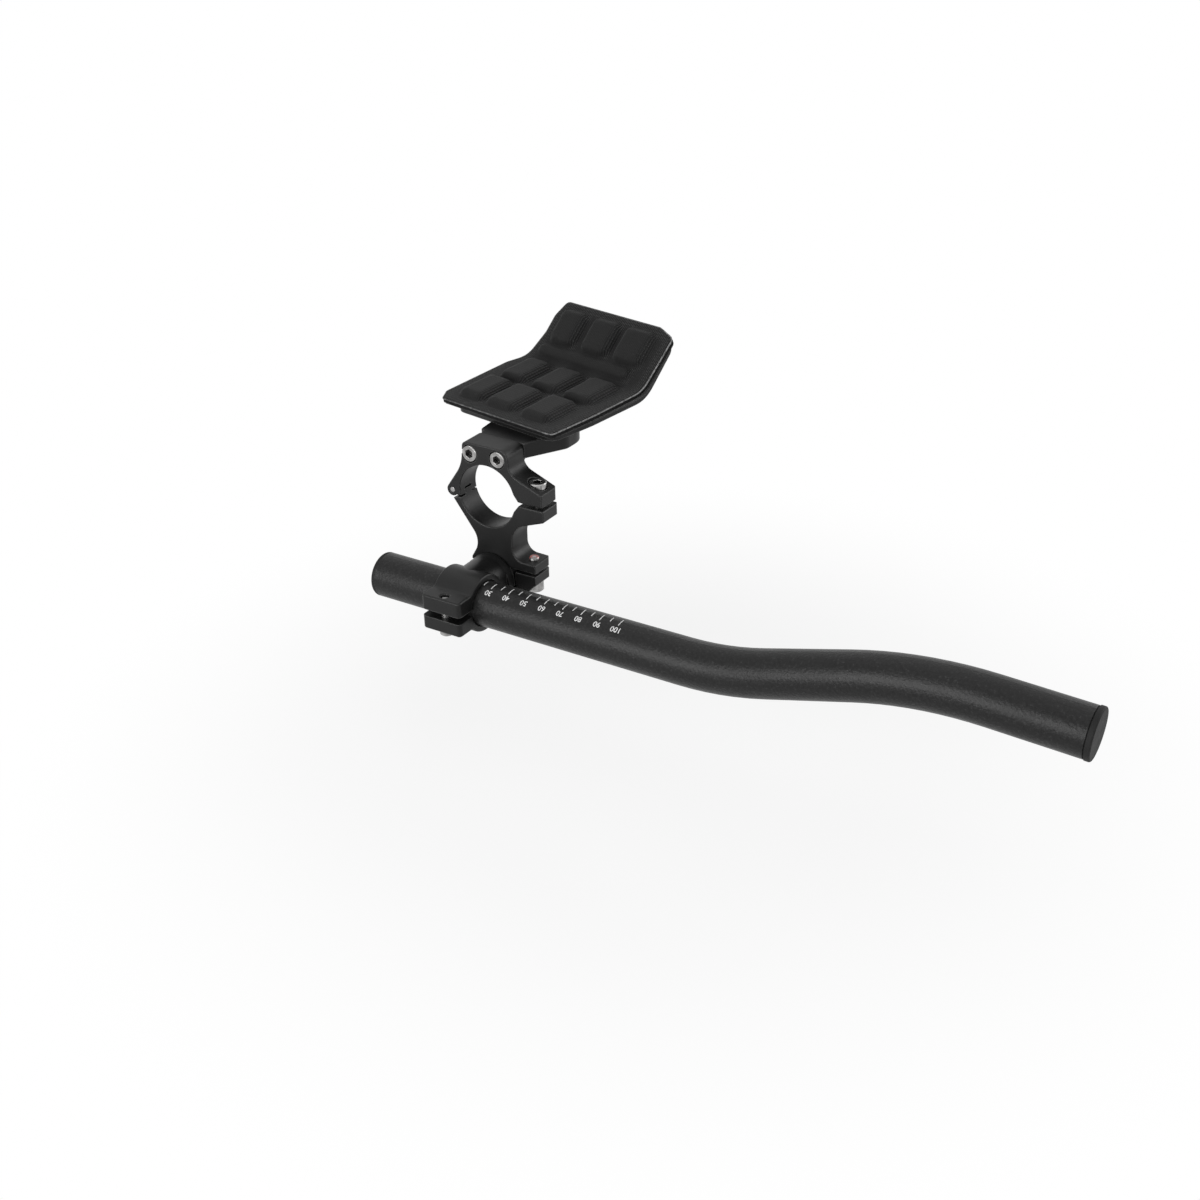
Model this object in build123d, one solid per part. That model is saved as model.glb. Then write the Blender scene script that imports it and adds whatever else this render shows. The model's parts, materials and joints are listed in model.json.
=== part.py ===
from build123d import *
from math import acos, atan2, cos, hypot, radians, sin, tan
import os

# Origin at the centre of the handlebar bore, halfway across the clamp.
# +X forward, +Y outward, +Z up. Millimetres.

# Handlebar clamp
bar_d = 31.8             # handlebar at the clamp
bracket_w = 13.5         # clamp width along the bar
bar_gap = 1.8            # open gap between the handlebar clamp halves
roof_h = 10.0            # cap wall over the bar
bar_bolt_reach = 9.3     # bar surface forward to the clamp bolt
bar_lug_end = 6.4        # clamp bolt forward to the end of the lugs
bar_lug_h = 7.0          # lug height at its front end
bar_lug_step = 0.6       # body lug reaches past the cap lug
bar_bolt_tail = 3.4      # bolt tip under the body lug
bar_pin_reach = 4.6      # bar surface back to the hinge pin
mouth_reach = 3.1        # front split opens from the bar this far
mouth_h = 5.6
rear_split = 3.5         # bar axis down to the split behind the bar
rear_gap = 0.8

# Hinges of both clamps
pin_d = 3.0
ear_wall = 1.6           # metal round the hinge pin
ear_relief = 1.0         # room round the ears
knuckle_w = 5.0          # middle knuckle of the body
knuckle_play = 0.2       # room on each side of the knuckle

# Extension tube
tube_d = 22.2
tube_wall = 2.0
tube_drop = 44.34        # handlebar axis down to the tube
tube_inset = 28.53       # clamp middle inward to the tube
tube_back = 48.4         # extension clamp middle back to the rear end of the tube
tube_straight = 119.5    # extension clamp middle forward to the first bend
rise_angle = 15.5
rise_r = 146.0
ramp_len = 41.9
level_angle = 18.2
level_r = 191.6
grip_len = 39.5

# End plugs
rear_flange_t = 2.0
front_flange_t = 3.0
plug_len = 12.0
plug_wall = 2.5
plug_lip = 0.3           # front flange stands this far outside the tube

# Extension clamp
ring_w = 22.1
ring_wall = 3.2
ring_gap = 3.6
ring_gap_drop = 0.4      # slit under the tube axis
ring_mid_x = 1.4
ring_lug_h = 18.1
ring_bolt_out = 17.3     # tube axis inward to the clamp bolt
ring_lug_end = 4.2       # clamp bolt to the end of the lugs
ring_bolt_d = 4.0
ring_head_proud = 2.2

# Tilt clamp
spigot_d = 17.9
spigot_bore = 12.4
spigot_proud = 1.5
pivot_rise = 1.8         # tilt axis above the tube axis
neck_d = 24.8            # flat where it would pass the ring's ends
flange_d = 25.8
flange_t = 0.8
flare_len = 3.0          # neck widens into the flange over this length
boss_wall = 3.6
tilt_gap = 1.6
tilt_gap_up = 6.4        # lug gap above the tilt axis
tilt_lug_t = 4.5         # body lug
tilt_cap_up = 0.4        # cap lug's underside above the tilt axis
tilt_lip_drop = 3.9      # inner lip beside the bolt's head, below that underside
tilt_lip_cut = 4.0       # its sloping front corner
tilt_bolt_reach = 7.6    # boss forward to the tilt bolt
tilt_lug_end = 4.9       # tilt bolt to the end of the lugs
tilt_pin_angle = 166.0
bore_split_drop = 2.0    # body wraps the bore this far below the tilt axis
rim_h = 0.8              # raised rim round the spigot on the outer side
rim_w = 2.0

# Socket bolts
bolt_d = 5.0
tip_chamfer = 0.5

# Armrest arm
arm_low_up = 1.6         # bar surface up to the arm's level underside
arm_len = 40.25
arm_front = 25.0
arm_back = 15.5
foot_back = 12.9
arm_root = 13.5          # arm's front edge where it leaves the cap
foot_front = 10.5
foot_depth = 8.5
lug_round = 2.2          # outer front corners of the bracket lugs
arm_top_drop = 1.64      # cap roof down to the arm's top plane at the origin
arm_bolt_mid = -1.23
arm_bolt_gap = 16.0
arm_bolt_up = 4.25       # bar surface up to the arm bolts
bar_room = 1.0           # foot's arch over the bar
rest_pitch = 1.035       # top plane rises forward, degrees
rest_roll = 5.07         # and outward

# Tray, backing and pad, in the rest's own frame: u forward, v outward, n up from the arm's top plane
rest_yaw = 11.5
tray_t = 2.0
tray_inset = 1.8
tray_tuck = 8.0          # tray's rear inner corner cut back under the pad
hook_t = 0.6
backing_t = 0.5
pad_t = 2.74
block_h = 4.0
lip_angle = 40.0
lip_len = 33.9
pad_rear = 55.0
pad_front = 29.0
pad_inner = 14.3
pad_bend = 76.0
tray_bend_r = 18.0
tray_screw_d = 5.0
tray_screw_head = 9.2
tray_screw_v = 30.0
tray_screw_gap = 18.0

# Fits
turn_play = 0.05         # spigot in the tilt clamp
slide_play = 0.05        # tube in its ring
thread_play = 0.05
pin_play = 0.02
plug_play = 0.05
hole_play = 0.25
head_play = 0.4
face_gap = 0.3           # extension clamp flange to the bracket
edge = 0.35              # small bevel on machined edges

half_w = bracket_w / 2
half_gap = bar_gap / 2
bar_r = bar_d / 2
ear_r = pin_d / 2 + ear_wall
pocket_r = ear_r + ear_relief
bar_bolt_x = bar_r + bar_bolt_reach
bar_lug_x = bar_bolt_x + bar_lug_end
roof_z = bar_r + roof_h
bar_pin = (-bar_r - bar_pin_reach, -1.0)

tube_r = tube_d / 2
tube_y = -tube_inset
tube_z = -tube_drop
tube_bore_r = tube_r - tube_wall
tube_rear_x = ring_mid_x - tube_back

pivot_x = ring_mid_x
pivot_z = tube_z + pivot_rise
spigot_r = spigot_d / 2
tilt_bore_r = spigot_r + turn_play
boss_r = tilt_bore_r + boss_wall
tilt_bolt_x = pivot_x + boss_r + tilt_bolt_reach
tilt_lug_x = tilt_bolt_x + tilt_lug_end
tilt_gap_z = pivot_z + tilt_gap_up
tilt_lug_low = tilt_gap_z + tilt_gap / 2
tilt_cap_top = tilt_gap_z - tilt_gap / 2
tilt_cap_low = pivot_z + tilt_cap_up
pin_out = tilt_bore_r + pin_d / 2 + 1.2
tilt_pin = (
    pivot_x + pin_out * cos(radians(tilt_pin_angle)),
    pivot_z + pin_out * sin(radians(tilt_pin_angle)),
)

arm_bolt_xs = (arm_bolt_mid - arm_bolt_gap / 2, arm_bolt_mid + arm_bolt_gap / 2)
arm_bolt_z = bar_r + arm_bolt_up
head_d = 1.7 * bolt_d
head_h = bolt_d


def outline(corners):
    points = [(x, z) for x, z, r in corners]
    return make_face(FilletPolyline(*points, radius=[r for x, z, r in corners], close=True))


def slab(profile, y_low, y_high, bevel=0):
    face = Plane((0, y_low, 0), x_dir=(1, 0, 0), z_dir=(0, -1, 0)) * profile
    solid = extrude(face, amount=y_high - y_low, dir=(0, 1, 0))
    if bevel:
        ends = solid.faces().filter_by(Axis.Y).sort_by(Axis.Y)
        solid = chamfer(ends[0].edges() + ends[-1].edges(), bevel)
    return solid


def rod(diameter, base, axis, length):
    return extrude(Plane(base, z_dir=axis) * Circle(diameter / 2), amount=length)


def cone(low_d, high_d, base, axis, height):
    base_centred = (Align.CENTER, Align.CENTER, Align.MIN)
    return Plane(base, z_dir=axis) * Cone(low_d / 2, high_d / 2, height, align=base_centred)


def cross_bore(diameter, centre, y_low, y_high):
    x, z = centre
    wide = diameter + 2 * edge
    bore = rod(diameter, (x, y_low - 1, z), (0, 1, 0), y_high - y_low + 2)
    bore += cone(wide, diameter, (x, y_low, z), (0, 1, 0), edge)
    return bore + cone(wide, diameter, (x, y_high, z), (0, -1, 0), edge)


def socket_bolt(size, seat, axis, shank):
    seat = Vector(*seat)
    axis = Vector(*axis).normalized()
    top = seat - axis * size
    head = rod(1.7 * size, seat, -axis, size)
    head = chamfer(head.edges().filter_by(GeomType.CIRCLE).sort_by_distance(top)[0], 0.4)
    body = rod(size, seat, axis, shank)
    rims = body.edges().filter_by(GeomType.CIRCLE)
    body = chamfer(rims.sort_by_distance(seat + axis * shank)[0], tip_chamfer)
    hexagon = RegularPolygon(0.4 * size, 6, major_radius=False)
    return head + body - extrude(Plane(top, z_dir=axis) * hexagon, amount=0.55 * size)


def hinge_pin(centre):
    pin = rod(pin_d, (centre[0], -half_w + 0.2, centre[1]), (0, 1, 0), bracket_w - 0.4)
    return chamfer(pin.edges().filter_by(GeomType.CIRCLE), 0.25)


def tangent_point(point, centre, radius, side):
    dx = point[0] - centre[0]
    dz = point[1] - centre[1]
    turn = atan2(dz, dx) + side * acos(radius / hypot(dx, dz))
    return (centre[0] + radius * cos(turn), centre[1] + radius * sin(turn))


def ear_pockets(centre):
    x, z = centre
    side = half_w - knuckle_w / 2
    near = rod(2 * pocket_r, (x, -half_w - 1, z), (0, 1, 0), side + 1)
    return near + rod(2 * pocket_r, (x, knuckle_w / 2, z), (0, 1, 0), side + 1)


def knuckle_pocket(room):
    reach = knuckle_w / 2 + knuckle_play
    return slab(room, -reach, reach)


def round_front(end_x, low, high, radius):
    corner = Pos(end_x - radius / 2, half_w - radius / 2) * Rectangle(radius, radius)
    corner -= Pos(end_x - radius, half_w - radius) * Circle(radius)
    spare = Pos(end_x + 1, half_w) * Rectangle(2, 2 * radius)
    return extrude(Plane((0, 0, low)) * (corner + spare), amount=high - low)


def pin_hole(centre):
    return rod(pin_d + 2 * pin_play, (centre[0], -half_w - 1, centre[1]), (0, 1, 0), bracket_w + 2)


# Bracket body
waist_x = bar_r - 2.2
lug_top = tilt_lug_low + tilt_lug_t
tip_x = tilt_pin[0] - 0.95
rear_x = bar_pin[0] - 0.55
rear_low = -rear_split - rear_gap / 2
rear_high = rear_low + rear_gap
body_lug_x = bar_lug_x + bar_lug_step
body_outline = outline([
    (body_lug_x, -half_gap, 1.0),
    (body_lug_x, 0.3 - bar_lug_h, 0.8),
    (waist_x, 2.4 - bar_r, 9.5),
    (waist_x, lug_top + 0.3, 5.8),
    (tilt_lug_x, lug_top, 0.8),
    (tilt_lug_x, tilt_lug_low, 0),
    (pivot_x + boss_r / 2, tilt_lug_low, 0),
    (pivot_x, pivot_z + 1, 0),
    (tip_x, tilt_pin[1] + 1, 0),
    (tip_x, tilt_pin[1] + 5.2, 0.8),
    (pivot_x - 6.7, -bar_r - 9.1, 9.5),
    (rear_x, rear_low, 0),
    (0, rear_low, 0),
    (0, -half_gap, 0),
])
boss_disc = Pos(pivot_x, pivot_z) * Circle(boss_r)
front_keep = Pos(pivot_x + boss_r, pivot_z - bore_split_drop + boss_r) * Rectangle(2 * boss_r, 2 * boss_r)
rear_keep = Pos(pivot_x - boss_r, tilt_pin[1] + boss_r) * Rectangle(2 * boss_r, 2 * boss_r)
bar_ear = Pos(*bar_pin) * Circle(ear_r)
bar_knuckle = bar_ear + outline([
    (bar_pin[0] - ear_r, bar_pin[1], 0),
    (bar_pin[0] + ear_r, bar_pin[1] - 2.5 * ear_r, 0),
    (2 - bar_r, bar_pin[1] - ear_r, 0),
    (2 - bar_r, bar_pin[1], 0),
])
tilt_ear = Pos(*tilt_pin) * Circle(ear_r)
body_boss = boss_disc & (front_keep + rear_keep)
rim_ring = Pos(pivot_x, pivot_z) * (Circle(boss_r - 0.2) - Circle(boss_r - 0.2 - rim_w))
body_rim = rim_ring & (front_keep + rear_keep)

bar_bore = cross_bore(bar_d, (0, 0), -half_w, half_w)
mouth_x = bar_r - 1.2
bar_mouth = slab(outline([
    (bar_r + mouth_reach, 0, 0),
    (mouth_x, mouth_h, 0),
    (mouth_x - mouth_reach, 0, 0),
    (mouth_x, -mouth_h, 0),
]), -half_w - 1, half_w + 1)
tilt_bore = rod(2 * tilt_bore_r, (pivot_x, -half_w - 1, pivot_z), (0, 1, 0), bracket_w + rim_h + 2)
tilt_bore += cone(2 * tilt_bore_r + 2, 2 * tilt_bore_r, (pivot_x, half_w, pivot_z), (0, -1, 0), 1.0)

bracket_body = slab(body_outline, -half_w, half_w, edge)
bracket_body += slab(body_boss, -half_w, half_w)
bracket_body += slab(body_rim, half_w, half_w + rim_h)
bracket_body += slab(bar_knuckle, -knuckle_w / 2, knuckle_w / 2)
bracket_body += slab(tilt_ear, -knuckle_w / 2, knuckle_w / 2)
bracket_body -= bar_bore + bar_mouth
bracket_body -= tilt_bore
bracket_body -= ear_pockets(bar_pin)
tilt_pockets = ear_pockets(tilt_pin)
tilt_pockets += rod(2 * pocket_r, (tilt_pin[0], half_w, tilt_pin[1]), (0, 1, 0), rim_h + 1)
bracket_body -= tilt_pockets
bracket_body -= pin_hole(bar_pin) + pin_hole(tilt_pin)
bar_bolt_low = -bar_lug_h - bar_bolt_tail
bracket_body -= rod(bolt_d + 2 * thread_play, (bar_bolt_x, 0, -bar_r), (0, 0, 1), 2 * bar_r)
tilt_thread_top = lug_top + 1.3
bracket_body -= rod(bolt_d + 2 * thread_play, (tilt_bolt_x, 0, tilt_gap_z - 1), (0, 0, 1), tilt_lug_t + 6)
bracket_body -= round_front(body_lug_x, -bar_r, 0, lug_round)
bracket_body -= round_front(tilt_lug_x, tilt_gap_z, lug_top + 1.5, lug_round)

# Handlebar clamp cap
waist = (1.7 - bar_r, bar_r - 2.4)
cap_touch = tangent_point(waist, bar_pin, ear_r, 1)
cap_outline = outline([
    (bar_lug_x, half_gap, 0),
    (bar_lug_x, bar_lug_h, 0.8),
    (bar_r - 2.6, bar_r - 1.4, 7.0),
    (bar_r - 2.6, roof_z, 5.0),
    (2.8 - bar_r, roof_z, 2.5),
    (waist[0], waist[1], 20.0),
    (cap_touch[0], cap_touch[1], 0),
    (bar_pin[0], rear_high, 0),
    (0, rear_high, 0),
    (0, half_gap, 0),
])
bar_room_z = bar_pin[1] + ear_relief
knuckle_room = Pos(*bar_pin) * Circle(pocket_r)
knuckle_room += Pos(bar_pin[0] / 2, bar_room_z - bar_r / 2) * Rectangle(-bar_pin[0], bar_r)
bar_seat_z = bar_lug_h - 1.2
handlebar_clamp_cap = slab(cap_outline, -half_w, half_w, edge)
handlebar_clamp_cap += slab(bar_ear, -half_w, half_w, edge)
handlebar_clamp_cap -= bar_bore + bar_mouth
handlebar_clamp_cap -= knuckle_pocket(knuckle_room)
handlebar_clamp_cap -= pin_hole(bar_pin)
handlebar_clamp_cap -= rod(bolt_d + 2 * hole_play, (bar_bolt_x, 0, -1), (0, 0, 1), bar_r)
handlebar_clamp_cap -= rod(head_d + 2 * head_play, (bar_bolt_x, 0, bar_seat_z), (0, 0, 1), bar_r)
handlebar_clamp_cap -= round_front(bar_lug_x, 0, bar_r, lug_round)
for x in arm_bolt_xs:
    mouth = (x, -half_w - 1, arm_bolt_z)
    handlebar_clamp_cap -= rod(bolt_d + 2 * hole_play, mouth, (0, 1, 0), bracket_w + 2)
    handlebar_clamp_cap -= rod(head_d + 2 * hole_play, mouth, (0, 1, 0), head_h + 1.1)

handlebar_hinge_pin = hinge_pin(bar_pin)
bar_shank = bar_seat_z - bar_bolt_low
handlebar_clamp_bolt = socket_bolt(bolt_d, (bar_bolt_x, 0, bar_seat_z), (0, 0, -1), bar_shank)

# Tilt clamp cap
split_z = pivot_z - bore_split_drop - tilt_gap
lug_in_x = pivot_x + boss_r + 0.8
lug_root = (lug_in_x + boss_wall, tilt_cap_low)
root_touch = tangent_point(lug_root, (pivot_x, pivot_z), boss_r, -1)
cap_lug = outline([
    (lug_in_x, split_z, 0),
    (lug_in_x, tilt_cap_top, 0.8),
    (tilt_lug_x, tilt_cap_top, 0),
    (tilt_lug_x, tilt_cap_low, 1.0),
    (lug_root[0], lug_root[1], 2.0),
    (root_touch[0], root_touch[1], 0),
    (pivot_x + boss_r / 3, split_z, 0),
])
front_half = Pos(pivot_x + boss_r, split_z - boss_r) * Rectangle(2 * boss_r, 2 * boss_r)
rear_half = Pos(pivot_x - boss_r, tilt_pin[1] - boss_r) * Rectangle(2 * boss_r, 2 * boss_r)
cap_ring = boss_disc & (front_half + rear_half)
cap_rim = rim_ring & (front_half + rear_half)
tilt_seat_z = tilt_cap_low - 0.2
tilt_clamp_cap = slab(cap_lug + cap_ring + tilt_ear, -half_w, half_w)
tilt_clamp_cap += slab(cap_rim, half_w, half_w + rim_h)
lip_front = tilt_lug_x - 0.6
lip_low = tilt_cap_low - tilt_lip_drop
head_lip = outline([
    (lug_in_x, tilt_cap_low + 1, 0),
    (lip_front, tilt_cap_low + 1, 0),
    (lip_front, tilt_cap_low + 0.6, 0),
    (lip_front - tilt_lip_cut, lip_low, 1.0),
    (lug_in_x, lip_low, 0),
])
tilt_clamp_cap += slab(head_lip, -half_w, -head_d / 2 - head_play - 0.1)
tilt_clamp_cap -= tilt_bore
tilt_clamp_cap -= knuckle_pocket(Pos(*tilt_pin) * Circle(pocket_r))
tilt_clamp_cap -= pin_hole(tilt_pin)
tilt_clamp_cap -= rod(bolt_d + 2 * hole_play, (tilt_bolt_x, 0, tilt_gap_z), (0, 0, -1), 4 * bolt_d)
tilt_clamp_cap -= rod(head_d + 2 * head_play, (tilt_bolt_x, 0, tilt_seat_z), (0, 0, -1), 4 * bolt_d)
tilt_clamp_cap -= round_front(tilt_lug_x, pivot_z - boss_r, tilt_gap_z, lug_round)

tilt_hinge_pin = hinge_pin(tilt_pin)
tilt_shank = tilt_thread_top - tilt_seat_z
tilt_clamp_bolt = socket_bolt(bolt_d, (tilt_bolt_x, 0, tilt_seat_z), (0, 0, 1), tilt_shank)

# Extension clamp
ring_bore_r = tube_r + slide_play
ring_r = ring_bore_r + ring_wall
ring_x0 = ring_mid_x - ring_w / 2
ring_bolt_y = tube_y - ring_bolt_out
lug_y = ring_bolt_y - ring_lug_end
collar = Pos(tube_y, tube_z) * Circle(ring_r)
collar += Pos((lug_y + tube_y) / 2, tube_z) * Rectangle(tube_y - lug_y, ring_lug_h)
collar = fillet(collar.vertices().filter_by_position(Axis.X, lug_y + 1, tube_y), 4.0)
ring_plane = Plane((ring_x0, 0, 0), x_dir=(0, 1, 0), z_dir=(1, 0, 0))
extension_clamp = extrude(ring_plane * collar, amount=ring_w)
lug_corners = extension_clamp.edges().filter_by(Axis.Z).filter_by_position(Axis.Y, lug_y - 1, lug_y + 1)
extension_clamp = fillet(lug_corners, 2.0)
ring_ends = extension_clamp.faces().filter_by(Axis.X).sort_by(Axis.X)
extension_clamp = fillet(ring_ends[0].edges() + ring_ends[-1].edges(), 1.0)

flange_y = -half_w - face_gap
neck_r = neck_d / 2
flange_r = flange_d / 2
neck_out = flange_y - flange_t - flare_len
neck_corners = [
    (0, tube_y, 0),
    (neck_r, tube_y, 0),
    (neck_r, neck_out, 4.0),
    (flange_r, flange_y - flange_t, 0.5),
    (flange_r, flange_y, 0.5),
    (spigot_r, flange_y, 0),
    (spigot_r, half_w + spigot_proud, 0.6),
    (0, half_w + spigot_proud, 0),
]
neck_plane = Plane((pivot_x, 0, pivot_z), x_dir=(1, 0, 0), z_dir=(0, 0, 1))
neck = revolve(neck_plane * outline(neck_corners), Axis((pivot_x, 0, pivot_z), (0, 1, 0)), 360)
for way in (-1, 1):
    flat_x = ring_mid_x + way * (ring_w + neck_d) / 2
    neck -= Pos(flat_x, (tube_y + neck_out) / 2, pivot_z) * Box(neck_d, neck_out - tube_y, 2 * neck_d)
extension_clamp += neck
hollow_depth = half_w + spigot_proud - (tube_y + ring_r - 1.2)
extension_clamp -= rod(spigot_bore, (pivot_x, half_w + spigot_proud, pivot_z), (0, -1, 0), hollow_depth)
extension_clamp -= rod(2 * ring_bore_r, (ring_x0 - 1, tube_y, tube_z), (1, 0, 0), ring_w + 2)
for end_x, way in ((ring_x0, 1), (ring_x0 + ring_w, -1)):
    extension_clamp -= cone(2 * ring_bore_r + 1, 2 * ring_bore_r, (end_x, tube_y, tube_z), (way, 0, 0), 0.5)
slit_len = tube_y - lug_y + 5
slit = Pos(ring_mid_x, tube_y - slit_len / 2, tube_z - ring_gap_drop) * Box(ring_w + 2, slit_len, ring_gap)
extension_clamp -= slit
ring_lug_low = tube_z - ring_lug_h / 2
ring_seat_z = ring_lug_low + ring_bolt_d - ring_head_proud
ring_lug_top = tube_z + ring_lug_h / 2
ring_bolt_spot = (ring_mid_x, ring_bolt_y, tube_z)
extension_clamp -= rod(ring_bolt_d + 2 * hole_play, ring_bolt_spot, (0, 0, -1), ring_lug_h)
extension_clamp -= rod(ring_bolt_d + 2 * thread_play, ring_bolt_spot, (0, 0, 1), ring_lug_h)
ring_head_hole = 1.7 * ring_bolt_d + 2 * hole_play
extension_clamp -= rod(ring_head_hole, (ring_mid_x, ring_bolt_y, ring_seat_z), (0, 0, -1), ring_lug_h)
mouth_d = ring_bolt_d + 1.2
extension_clamp -= cone(mouth_d, ring_bolt_d, (ring_mid_x, ring_bolt_y, ring_lug_top), (0, 0, -1), 0.6)
ring_shank = ring_lug_top - 1.2 - ring_seat_z
ring_seat = (ring_mid_x, ring_bolt_y, ring_seat_z)
extension_clamp_bolt = socket_bolt(ring_bolt_d, ring_seat, (0, 0, 1), ring_shank)

# Extension tube and its plugs
bend_x = ring_mid_x + tube_straight
run = Line((tube_rear_x, tube_z), (bend_x, tube_z))
rise = JernArc((bend_x, tube_z), (1, 0), rise_r, rise_angle)
ramp = Line(rise @ 1, rise @ 1 + (rise % 1) * ramp_len)
level = JernArc(ramp @ 1, ramp % 1, level_r, -level_angle)
grip = Line(level @ 1, level @ 1 + (level % 1) * grip_len)
tube_plane = Plane((0, tube_y, 0), x_dir=(1, 0, 0), z_dir=(0, -1, 0))
path = tube_plane * Wire([run.edge(), rise.edge(), ramp.edge(), level.edge(), grip.edge()])
section = Plane(path @ 0, z_dir=path % 0) * (Circle(tube_r) - Circle(tube_bore_r))
extension_tube = sweep(section, path=path)


def end_plug(end, out, flange_r, flange_t, groove):
    flange = rod(2 * flange_r, end, out, flange_t)
    far = end + out * flange_t
    flange = fillet(flange.edges().filter_by(GeomType.CIRCLE).sort_by_distance(far)[0], 0.8)
    stem = rod(2 * (tube_bore_r - plug_play), end, -out, plug_len)
    hollow = rod(2 * (tube_bore_r - plug_play - plug_wall), end - out * plug_len, out, plug_len - 1)
    plug = flange + stem - hollow
    if groove:
        ring = Circle(flange_r + 1) - Circle(tube_r - groove)
        plug -= extrude(Plane(end, z_dir=out) * ring, amount=groove)
    return plug


rear_end_plug = end_plug(path @ 0, -(path % 0), tube_r, rear_flange_t, 0)
front_end_plug = end_plug(path @ 1, path % 1, tube_r + plug_lip, front_flange_t, 0.6)

# Armrest arm
arm_z = roof_z - arm_top_drop
arm_normal = Vector(-tan(radians(rest_pitch)), -tan(radians(rest_roll)), 1).normalized()
arm_plane = Plane((0, 0, arm_z), x_dir=Vector(1, 0, tan(radians(rest_pitch))), z_dir=arm_normal)
arm_end = half_w + arm_len
arm_outline = outline([
    (-foot_back, 0, 0),
    (-foot_back, half_w + 4.6, 1.0),
    (-arm_back, half_w + 5.8, 1.2),
    (-arm_back, arm_end, 12.5),
    (arm_front, arm_end, 13.0),
    (arm_front, half_w + 20.3, 7.0),
    (arm_root - 3.8, 0, 0),
])
arm_low = bar_r + arm_low_up
armrest_arm = extrude(Plane((0, 0, arm_low)) * arm_outline, amount=arm_len)
armrest_arm -= arm_plane * Box(300, 300, 100, align=(Align.CENTER, Align.CENTER, Align.MIN))
arm_faces = armrest_arm.faces().sort_by(Axis.Z)
armrest_arm = chamfer(arm_faces[-1].edges() + arm_faces[0].edges(), edge)
foot_low = bar_r - 1.2
foot_plan = outline([
    (-foot_back, 0, 0),
    (-foot_back, half_w + foot_depth, 2.0),
    (foot_front, half_w + foot_depth, 5.0),
    (foot_front, 0, 0),
])
armrest_arm += extrude(Plane((0, 0, foot_low)) * foot_plan, amount=arm_low + 3 - foot_low)
armrest_arm -= Pos(0, half_w - 25, arm_z) * Box(200, 50, 100)
armrest_arm -= rod(2 * (bar_r + bar_room), (0, half_w - 1, 0), (0, 1, 0), 2 * arm_len)
for x in arm_bolt_xs:
    armrest_arm -= rod(bolt_d + 2 * thread_play, (x, half_w - 1, arm_bolt_z), (0, 1, 0), foot_depth + 0.2)
arm_seat_y = head_h - half_w + 0.1
arm_shank = half_w + foot_depth - 1.2 - arm_seat_y
arm_bolt_pair = []
for x in arm_bolt_xs:
    arm_bolt_pair.append(socket_bolt(bolt_d, (x, arm_seat_y, arm_bolt_z), (0, 1, 0), arm_shank))
arm_bolts = Compound(arm_bolt_pair)

# Tray, hook patches, backing and pad
yaw = radians(rest_yaw)
rest_dir = Vector(cos(yaw), -sin(yaw), 0)
rest_dir = (rest_dir - arm_normal * rest_dir.dot(arm_normal)).normalized()
rest = Plane((0, 0, arm_z), x_dir=rest_dir, z_dir=arm_normal)
lip = radians(lip_angle)
hook_top = tray_t + hook_t
backing_top = hook_top + backing_t
pad_top = backing_top + pad_t
bend_n = tray_t + tray_bend_r
bend_v = pad_bend - (bend_n - pad_top) * tan(lip / 2)
lip_plane = Plane((0, pad_bend, pad_top), x_dir=(1, 0, 0), z_dir=(0, -sin(lip), cos(lip)))


def bent_sheet(low, high):
    edges = []
    ends = []
    for level in (low, high):
        r = bend_n - level
        start = (0, level)
        flat = (bend_v, level)
        middle = (bend_v + r * sin(lip / 2), bend_n - r * cos(lip / 2))
        turned = (bend_v + r * sin(lip), bend_n - r * cos(lip))
        tip = (turned[0] + 2 * lip_len * cos(lip), turned[1] + 2 * lip_len * sin(lip))
        edges.append(Line(start, flat).edge())
        edges.append(ThreePointArc(flat, middle, turned).edge())
        edges.append(Line(turned, tip).edge())
        ends.append((start, tip))
    edges.append(Line(ends[0][0], ends[1][0]).edge())
    edges.append(Line(ends[0][1], ends[1][1]).edge())
    length = 2 * (pad_rear + pad_front)
    base = Plane((-length / 2, 0, 0), x_dir=(0, 1, 0), z_dir=(1, 0, 0))
    return extrude(base * make_face(edges), amount=length)


def trimmed(low, high, inset, rounding, tuck):
    far = pad_bend + 3 * lip_len
    flat = outline([
        (inset - pad_rear, far, 0),
        (inset - pad_rear, pad_inner + 7.4 + inset + tuck, 2 + rounding),
        (inset - pad_rear + 4.5 + tuck, pad_inner + 0.4 + inset, 2 + rounding),
        (pad_front - 4.6 - inset, pad_inner + 1.6 + inset, 3 + rounding),
        (pad_front - 1.1 - inset, pad_inner + 27.7, 40),
        (pad_front + 1 - inset, pad_bend, 0),
        (pad_front + 1 - inset, far, 0),
    ])
    lip_face = outline([
        (inset - pad_rear, -far, 0),
        (inset - pad_rear, -12, 8),
        (inset - pad_rear + 3.2, 0, 10),
        (inset - pad_rear + 6.5, 15, 20),
        (inset - pad_rear + 6.5, 25, 8),
        (inset - pad_rear + 9.8, lip_len - inset, 3 + rounding),
        (pad_front - 10.4 - inset, lip_len - inset, 5),
        (pad_front + 0.6 - inset, lip_len - 3.7 - inset, 3 + rounding),
        (pad_front + 1 - inset, 0, 0),
        (pad_front + 1 - inset, -far, 0),
    ])
    sheet = bent_sheet(low, high)
    sheet &= extrude(Plane((0, 0, -far)) * flat, amount=2 * far)
    return sheet & extrude(lip_plane * lip_face, amount=far, both=True)


def block(plane, u_low, u_high, low, high):
    face = Pos((u_low + u_high) / 2, (low + high) / 2) * RectangleRounded(u_high - u_low, high - low, 2.2)
    solid = extrude(plane * face, amount=block_h) + extrude(plane * face, amount=-pad_t / 2)
    crown = solid.faces().sort_by(Axis(plane.origin, plane.z_dir))[-1]
    return fillet(crown.edges(), 1.4)


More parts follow.
